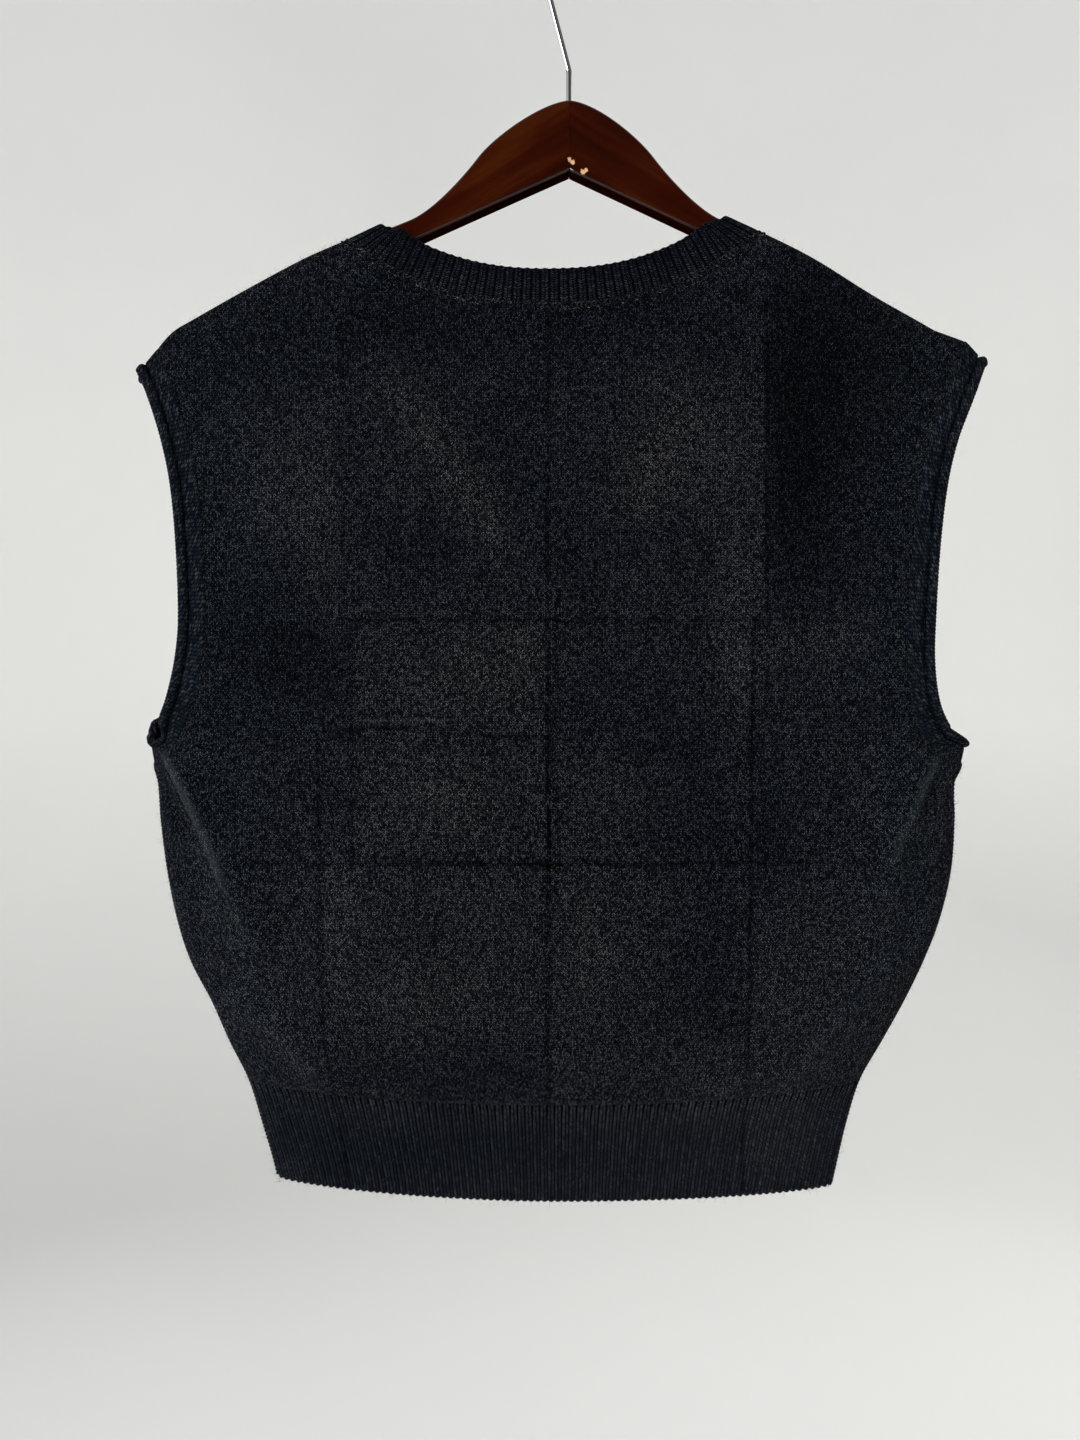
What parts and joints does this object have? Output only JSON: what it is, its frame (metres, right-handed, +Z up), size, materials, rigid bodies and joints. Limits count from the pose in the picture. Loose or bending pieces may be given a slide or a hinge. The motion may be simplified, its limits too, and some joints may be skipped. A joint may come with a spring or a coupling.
{
  "type": "knitted sweater vest on a wooden hanger",
  "caption": "Sleeveless knitted pullover with a ribbed V neck, hem and armholes, hung by the shoulders on a contoured wooden hanger with a wire hook.",
  "frame": {"origin": "inside top of the hook, where a rail holds it", "axes": "+Z up, +X to the right as seen from the vest's back, +Y out of the vest's front; the back panel faces -Y"},
  "size_m": [0.4837, 0.0396, 0.708],
  "materials": {
    "charcoal_knit": "matte fine wool knit with a soft nap, plain in the panels and 1x1 rib in the bands",
    "mahogany": "dark reddish stain under gloss varnish, straight grain along each arm",
    "chrome": "polished plated wire"
  },
  "bodies": {
    "root": {"back_panel": "charcoal_knit", "front_panel": "charcoal_knit", "back_hem_rib": "charcoal_knit", "front_hem_rib": "charcoal_knit", "neckband": "charcoal_knit", "armhole_band_left": "charcoal_knit", "armhole_band_right": "charcoal_knit", "hanger_arm_left": "mahogany", "hanger_arm_right": "mahogany", "hook": "chrome"}
  },
  "joints": []
}
